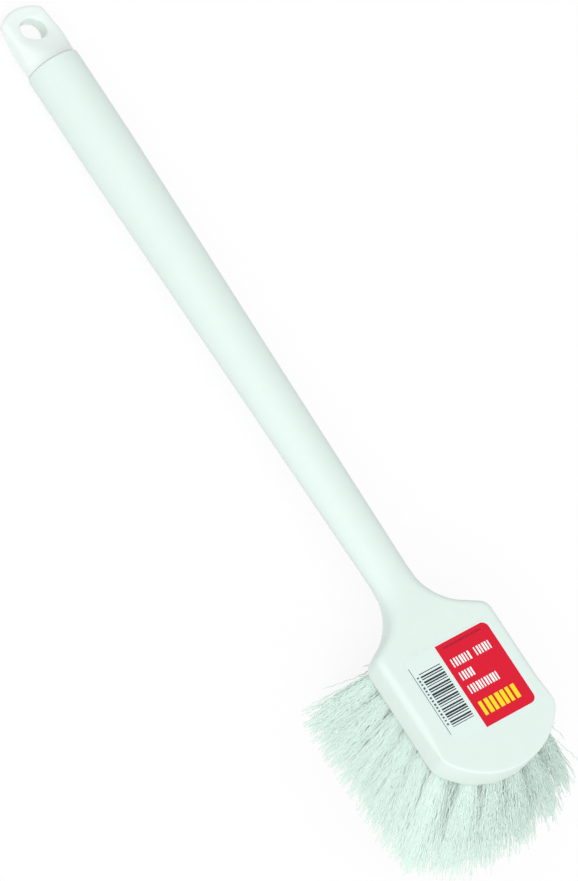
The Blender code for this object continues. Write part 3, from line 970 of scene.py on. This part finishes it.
@dataclass
class HangCap:
    """The plug in the handle's end, which thins to a tab with a hole to hang it by."""

    axes: BrushAxes
    body: MouldedBody
    length: float = 0.0385
    seam_step: float = 0.0007
    seam_gap: float = 0.0003
    tab_width: float = 0.0286
    end_rise: float = 0.0053
    corner_radius: float = 0.005
    tip_thickness: float = 0.0082
    round_length: float = 0.020
    thinning_power: float = 2.5
    hole_diameter: float = 0.015
    hole_from_tip: float = 0.016
    hole_lip: float = 0.0012
    lip_overrun: float = 0.00005
    spigot_length: float = 0.020
    spigot_wall: float = 0.002
    plug_floor: float = 0.003
    seam_edge: float = 0.0004
    seam_bevel: float = 0.0001
    edges: EdgeRounding = EdgeRounding(0.0028, 0.0028)
    thinning_steps: int = 26
    corner_steps: int = 10
    end_steps: int = 12
    hole_sides: int = 72
    lip_steps: int = 7

    def base_diameter(self) -> float:
        """Diameter of the cap at the seam."""
        return self.body.end_diameter - 2 * self.seam_step

    def half_height(self, x: float) -> float:
        """Half the cap's thickness at a distance from the seam."""
        share = max(1 - x / self.length, 0) ** self.thinning_power
        return between(self.tip_thickness, self.base_diameter(), share) / 2

    def rings(self) -> list[list[Vector]]:
        """Runs from inside the spigot, over the seam's edge and along to the tip.

        Returns:
            The sections in order.
        """
        middle = self.body.block_thickness / 2
        spigot = self.body.end_diameter / 2 - self.body.wall - self.seam_gap
        base = self.base_diameter() / 2
        rings = [self.edges.round_ring(x, radius, middle) for x, radius in (
            (-self.plug_floor, spigot - self.spigot_wall),
            (-self.spigot_length, spigot - self.spigot_wall),
            (-self.spigot_length, spigot - self.seam_edge), (0, spigot),
            (0, base - self.seam_edge), (self.seam_bevel, base - self.seam_bevel))]
        end = arc_points(self.length, self.tab_width / 2, self.end_rise, self.corner_radius,
                         self.corner_steps, self.end_steps)
        for step in range(self.thinning_steps):
            share = step / self.thinning_steps
            x = between(self.seam_edge, end[0][0], share)
            half_width = between(self.base_diameter(), self.tab_width, share) / 2
            roundness = 1 - smooth_share(x / self.round_length)
            station = Station(x, half_width, 0, 1, self.half_height(x), roundness)
            rings.append(self.edges.ring(station, middle))
        rings += [self.edges.ring(Station(*point, self.half_height(point[0]), 0), middle)
                  for point in end]
        seam_x = -self.body.handle_length - self.seam_gap
        return [[Vector((seam_x - point.x, point.y, point.z)) for point in ring] for ring in rings]

    def build(self, finish: bpy.types.Material) -> bpy.types.Object:
        """Models the cap, cuts its hole and dresses it.

        Args:
            finish: The plastic.

        Returns:
            The cap.
        """
        cap = sweep("hang_cap_moulding", self.rings())
        cut_away(cap, self.hole_cutter(cap))
        return finish_piece(cap, self.axes, finish, ["hang_cap"])

    def hole_cutter(self, cap: bpy.types.Object) -> bpy.types.Object:
        """Models the hole's own shape, whose rounded lips follow the tab's sloping faces.

        Args:
            cap: The cap before its hole is cut.

        Returns:
            The cutter.
        """
        hole_x = -self.body.handle_length - self.seam_gap - self.length + self.hole_from_tip
        middle = self.body.block_thickness / 2
        ways = [Vector((math.cos(turn), math.sin(turn), 0)) for turn in (
            FULL_TURN * side / self.hole_sides for side in range(self.hole_sides))]
        mouth = self.hole_diameter / 2 + self.hole_lip
        bpy.context.view_layer.update()
        rings = []
        for face in (1, -1):
            outside = Vector((hole_x, 0, middle + face * self.base_diameter()))
            starts = [outside + way * mouth for way in ways]
            hits = [cap.ray_cast(start, (0, 0, -face))[1] for start in starts]
            lip = [starts]
            for step in range(self.lip_steps + 1):
                turn = QUARTER_TURN * step / self.lip_steps
                inward = self.hole_lip * math.sin(turn)
                depth = self.hole_lip * (1 - math.cos(turn)) - self.lip_overrun
                lip.append([hit - way * inward - Vector((0, 0, face * depth))
                            for hit, way in zip(hits, ways)])
            rings += lip if face == 1 else lip[::-1]
        return sweep("hole_cutter", rings)


@dataclass
class PrintedLabel:
    """The film label on the block's flat top."""

    axes: BrushAxes
    rear_x: float = 0.0085
    front_x: float = 0.0615
    right_y: float = -0.0275
    left_y: float = 0.0325
    seat_z: float = 0.01802
    film: float = 0.00014
    corner_radius: float = 0.003
    corner_steps: int = 8

    def build(self, finish: bpy.types.Material) -> bpy.types.Object:
        """Models the film with its rounded corners and lays it on the block.

        Args:
            finish: The printed film.

        Returns:
            The label.
        """
        length, width = self.front_x - self.rear_x, self.left_y - self.right_y
        start_fresh()
        bpy.ops.mesh.primitive_plane_add(size=1, location=(
            (self.rear_x + self.front_x) / 2, (self.right_y + self.left_y) / 2, self.seat_z))
        label = bpy.context.object
        label.name = "label_film"
        label.scale = (length, width, 1)
        bpy.ops.object.transform_apply(location=True, scale=True)
        bpy.ops.object.mode_set(mode="EDIT")
        bpy.ops.mesh.select_all(action="SELECT")
        bpy.ops.mesh.bevel(offset=self.corner_radius, affect="VERTICES",
                           segments=self.corner_steps)
        bpy.ops.mesh.select_all(action="SELECT")
        bpy.ops.mesh.extrude_region_move(TRANSFORM_OT_translate={"value": (0, 0, self.film)})
        bpy.ops.mesh.select_all(action="SELECT")
        bpy.ops.mesh.normals_make_consistent(inside=False)
        bpy.ops.object.mode_set(mode="OBJECT")
        sheet = label.data.uv_layers.new(name="label")
        for loop in label.data.loops:
            point = label.data.vertices[loop.vertex_index].co
            sheet.data[loop.index].uv = (point.x - self.rear_x, point.y - self.right_y)
        return finish_piece(label, self.axes, finish, ["label"])


@dataclass
class BristleTufts:
    """Crimped filaments that open from every tuft hole and close the gaps between the tufts."""

    axes: BrushAxes
    tufts: TuftField
    trim_depth: float = 0.051
    # Real filaments are about 0.35 mm thick, and these are as coarse as they need to be to show
    filaments: int = 170
    filament_diameter: float = 0.0005
    root_radius: float = 0.0033
    spread_radius: float = 0.0074
    tip_scatter: float = 0.0031
    stray_share: float = 0.04
    stray_scatter: float = 0.0060
    shortest_stray_share: float = 0.65
    side_reach: float = 0.0632
    front_spread_share: float = 0.84
    contour_start: float = 0.060
    contour_length: float = 0.0545
    contour_half_width: float = 0.0625
    contour_power: float = 3.0
    ragged: float = 0.0040
    crimp: float = 0.00055
    crimp_onset: float = 0.25
    opening_power: float = 0.32
    tip_taper: float = 0.7
    points: int = 17
    filament_sides: int = 3
    smooth_angle: float = math.radians(130)
    seed: int = 11
    seed_step: int = 100

    def tip(self, place: Vector, out: Vector, chance: random.Random) -> Vector:
        """Finds where a filament ends: most end at the trim, and strays end short of it.

        Args:
            place: The middle of the tuft's hole.
            out: The filament's way out from the middle, at most one long.
            chance: The tuft's own source of chance.

        Returns:
            The tip in the brush's own axes.
        """
        share = place + out * self.spread(place)
        stray = chance.random() < self.stray_share
        scatter = self.stray_scatter if stray else self.tip_scatter
        end = self.held(share + self.tufts.lean(*share) * self.trim_depth)
        end += Vector((chance.gauss(0, scatter), chance.gauss(0, scatter)))
        end.y = min(max(end.y, -self.side_reach), self.side_reach)
        depth = self.trim_depth - self.ragged * chance.random() ** 2
        if stray:
            depth *= between(self.shortest_stray_share, 1, chance.random())
        return Vector((end.x, end.y, -depth))

    def spread(self, place: Vector) -> float:
        """How wide a tuft opens: those at the front stay a little apart, so gaps show."""
        front = place.x > self.tufts.front_x(place.y) - self.tufts.row_pitch / 2
        return self.spread_radius * (self.front_spread_share if front else 1)

    def held(self, end: Vector) -> Vector:
        """Holds a tip inside the rounded outline that the front and its corners are trimmed to.

        Args:
            end: Where the filament would end.

        Returns:
            Where it ends.
        """
        past = max(end.x - self.contour_start, 0) / self.contour_length
        across = abs(end.y) / self.contour_half_width
        power = self.contour_power
        size = (past ** power + across ** power) ** (1 / power)
        if size <= 1:
            return end
        trimmed_x = self.contour_start + past * self.contour_length / size
        return Vector((end.x if past == 0 else trimmed_x, end.y / size))

    def path(self, place: Vector, number: int, chance: random.Random) -> list[Vector]:
        """Points down one filament, from inside its hole to its tip.

        Args:
            place: The middle of the tuft's hole.
            number: The filament's number in its tuft.
            chance: The tuft's own source of chance.

        Returns:
            Points in the brush's own axes.
        """
        turn = number * GOLDEN_ANGLE
        out = Vector((math.cos(turn), math.sin(turn))) * math.sqrt((number + 0.5) / self.filaments)
        root = place + out * self.root_radius
        end = self.tip(place, out, chance)
        spread = self.spread(place)
        way = end.xy - place - out * spread
        found = [Vector((root.x, root.y, self.root_radius))]
        for step in range(self.points):
            down = step / (self.points - 1)
            kink = chance.random() * FULL_TURN
            wave = Vector((math.cos(kink), math.sin(kink))) * self.crimp
            wave *= min(down / self.crimp_onset, 1)
            radius = between(self.root_radius, spread, down ** self.opening_power)
            flat = place + out * radius + way * down + wave
            found.append(Vector((flat.x, flat.y, end.z * down)))
        return self.cut_at_floor(found)

    def cut_at_floor(self, points: list[Vector]) -> list[Vector]:
        """Ends a filament where it meets the floor that the brush rests on.

        Args:
            points: The filament's points, from its root down.

        Returns:
            The points that are left.
        """
        kept = [points[0]]
        for upper, lower in zip(points, points[1:]):
            above = self.axes.height(upper) - self.filament_diameter
            below = self.axes.height(lower) - self.filament_diameter
            if below < 0:
                kept.append(upper.lerp(lower, above / (above - below)))
                break
            kept.append(lower)
        return kept

    def section(self) -> bpy.types.Object:
        """Draws the outline that every filament's section has.

        Returns:
            The outline, outside the scene.
        """
        outline = bpy.data.curves.new("filament_section", "CURVE")
        spline = outline.splines.new("POLY")
        spline.points.add(self.filament_sides - 1)
        spline.use_cyclic_u = True
        for side, point in enumerate(spline.points):
            turn = FULL_TURN * side / self.filament_sides
            point.co = (self.filament_diameter / 2 * math.cos(turn),
                        self.filament_diameter / 2 * math.sin(turn), 0, 1)
        return bpy.data.objects.new("filament_section", outline)

    def build_tuft(self, row: int, column: int, place: Vector, section: bpy.types.Object,
                   finish: bpy.types.Material) -> bpy.types.Object:
        """Models one tuft as a bundle of curves and turns it into a mesh.

        Args:
            row: The tuft's row, counted from the handle.
            column: The tuft's column, counted from the brush's right.
            place: The middle of the tuft's hole.
            section: The outline that the filaments are drawn with.
            finish: The filaments' material.

        Returns:
            The tuft.
        """
        chance = random.Random(self.seed + self.seed_step * row + column)
        bundle = bpy.data.curves.new("bristles", "CURVE")
        bundle.dimensions = "3D"
        bundle.bevel_mode = "OBJECT"
        bundle.bevel_object = section
        bundle.use_fill_caps = True
        for number in range(self.filaments):
            path = self.path(place, number, chance)
            spline = bundle.splines.new("POLY")
            spline.points.add(len(path) - 1)
            for point, at in zip(spline.points, path):
                point.co = (*at, 1)
            spline.points[-1].radius = self.tip_taper
        tuft = bpy.data.objects.new(f"bristles_row_{row}_column_{column}", bundle)
        bpy.context.scene.collection.objects.link(tuft)
        only_select(tuft)
        bpy.ops.object.convert(target="MESH")
        return finish_piece(bpy.context.object, self.axes, finish,
                            [f"tuft_row_{row}_column_{column}"], self.smooth_angle)

    def build(self, finish: bpy.types.Material) -> list[bpy.types.Object]:
        """Models every tuft.

        Args:
            finish: The filaments' material.

        Returns:
            The tufts.
        """
        section = self.section()
        built = [self.build_tuft(row, column, Vector((x, y)), section, finish)
                 for row, column, x, y in self.tufts.places()]
        bpy.data.objects.remove(section)
        return built


# Studio


@dataclass
class Studio:
    """White paper, one broad soft lamp, even light from all round, and the camera."""

    axes: BrushAxes
    lens: float = 224.71
    camera_place: tuple[float, float, float] = (0.47304, -1.45490, 2.55524)
    right: tuple[float, float, float] = (0.53828, 0.78090, 0.31693)
    up: tuple[float, float, float] = (-0.81823, 0.39417, 0.41848)
    back: tuple[float, float, float] = (0.20187, -0.48458, 0.85113)
    lamp_way: tuple[float, float, float] = (0.38, -0.42, 0.80)
    lamp_distance: float = 6.0
    lamp_size: float = 4.4
    lamp_power: float = 212.0
    world_strength: float = 0.635
    floor_z: float = -0.0002
    floor_size: float = 12.0
    sensor_width: float = 36.0
    nearest_seen: float = 0.1
    farthest_seen: float = 100.0

    def build_floor(self, finish: bpy.types.Material) -> None:
        """Lays the paper, just low enough for the round rim of the handle's end.

        Args:
            finish: The paper.
        """
        start_fresh()
        bpy.ops.mesh.primitive_plane_add(size=self.floor_size, location=(0, 0, self.floor_z))
        floor = bpy.context.object
        floor.name = "paper_floor"
        floor.data.materials.append(finish)

    def build_light(self) -> None:
        """Sets the lamp and the even light."""
        world = bpy.data.worlds.new("even_light")
        bpy.context.scene.world = world
        world.use_nodes = True
        sky = world.node_tree.nodes["Background"]
        sky.inputs["Color"].default_value = linear("FFFFFF")
        level = add_node(world.node_tree, "ShaderNodeMapRange",
                         {"To Min": self.world_strength, "To Max": 1.0},
                         {"Value": looking_rays(world.node_tree)})
        world.node_tree.links.new(level.outputs["Result"], sky.inputs["Strength"])
        way = (self.axes.to_world.to_3x3() @ Vector(self.lamp_way)).normalized()
        lamp = bpy.data.lights.new("soft_lamp", "AREA")
        lamp.shape = "SQUARE"
        lamp.size = self.lamp_size
        lamp.energy = self.lamp_power
        holder = bpy.data.objects.new("soft_lamp", lamp)
        holder.matrix_world = Matrix.Translation(way * self.lamp_distance) @ (
            way.to_track_quat("Z", "Y").to_matrix().to_4x4())
        bpy.context.scene.collection.objects.link(holder)

    def build_camera(self) -> None:
        """Sets the camera at the photograph's angle, a long way off with a long lens."""
        data = bpy.data.cameras.new("camera")
        data.lens = self.lens
        data.sensor_width = self.sensor_width
        data.clip_start, data.clip_end = self.nearest_seen, self.farthest_seen
        camera = bpy.data.objects.new("camera", data)
        turn = Matrix((self.right, self.up, self.back)).transposed().to_4x4()
        camera.matrix_world = self.axes.to_world @ Matrix.Translation(self.camera_place) @ turn
        bpy.context.scene.collection.objects.link(camera)
        bpy.context.scene.camera = camera

    def build(self) -> None:
        """Builds the whole studio."""
        self.build_floor(StudioFloor().make())
        self.build_light()
        self.build_camera()
        bpy.context.scene.view_settings.view_transform = "Standard"
        log.info("studio built")


def main() -> None:
    """Builds the studio, then dresses each piece of the brush."""
    logging.basicConfig(level=logging.INFO, format="%(name)s: %(message)s")
    axes = BrushAxes()
    Studio(axes).build()
    tufts = TuftField()
    body = MouldedBody(axes, tufts)
    white = MouldedPolypropylene("white_polypropylene", "E1EEE9", "DCEBE5", 0.55)
    cap_white = MouldedPolypropylene("white_cap_polypropylene", "ECF6F2", "E8F3EE", 0.42,
                                     scatter_share=0.5, scatter_radius=0.005)
    body.build(white.make())
    HangCap(axes, body).build(cap_white.make())
    PrintedLabel(axes).build(LabelFilm().make())
    BristleTufts(axes, tufts).build(BristleFilament().make())


if __name__ == "__main__":
    main()
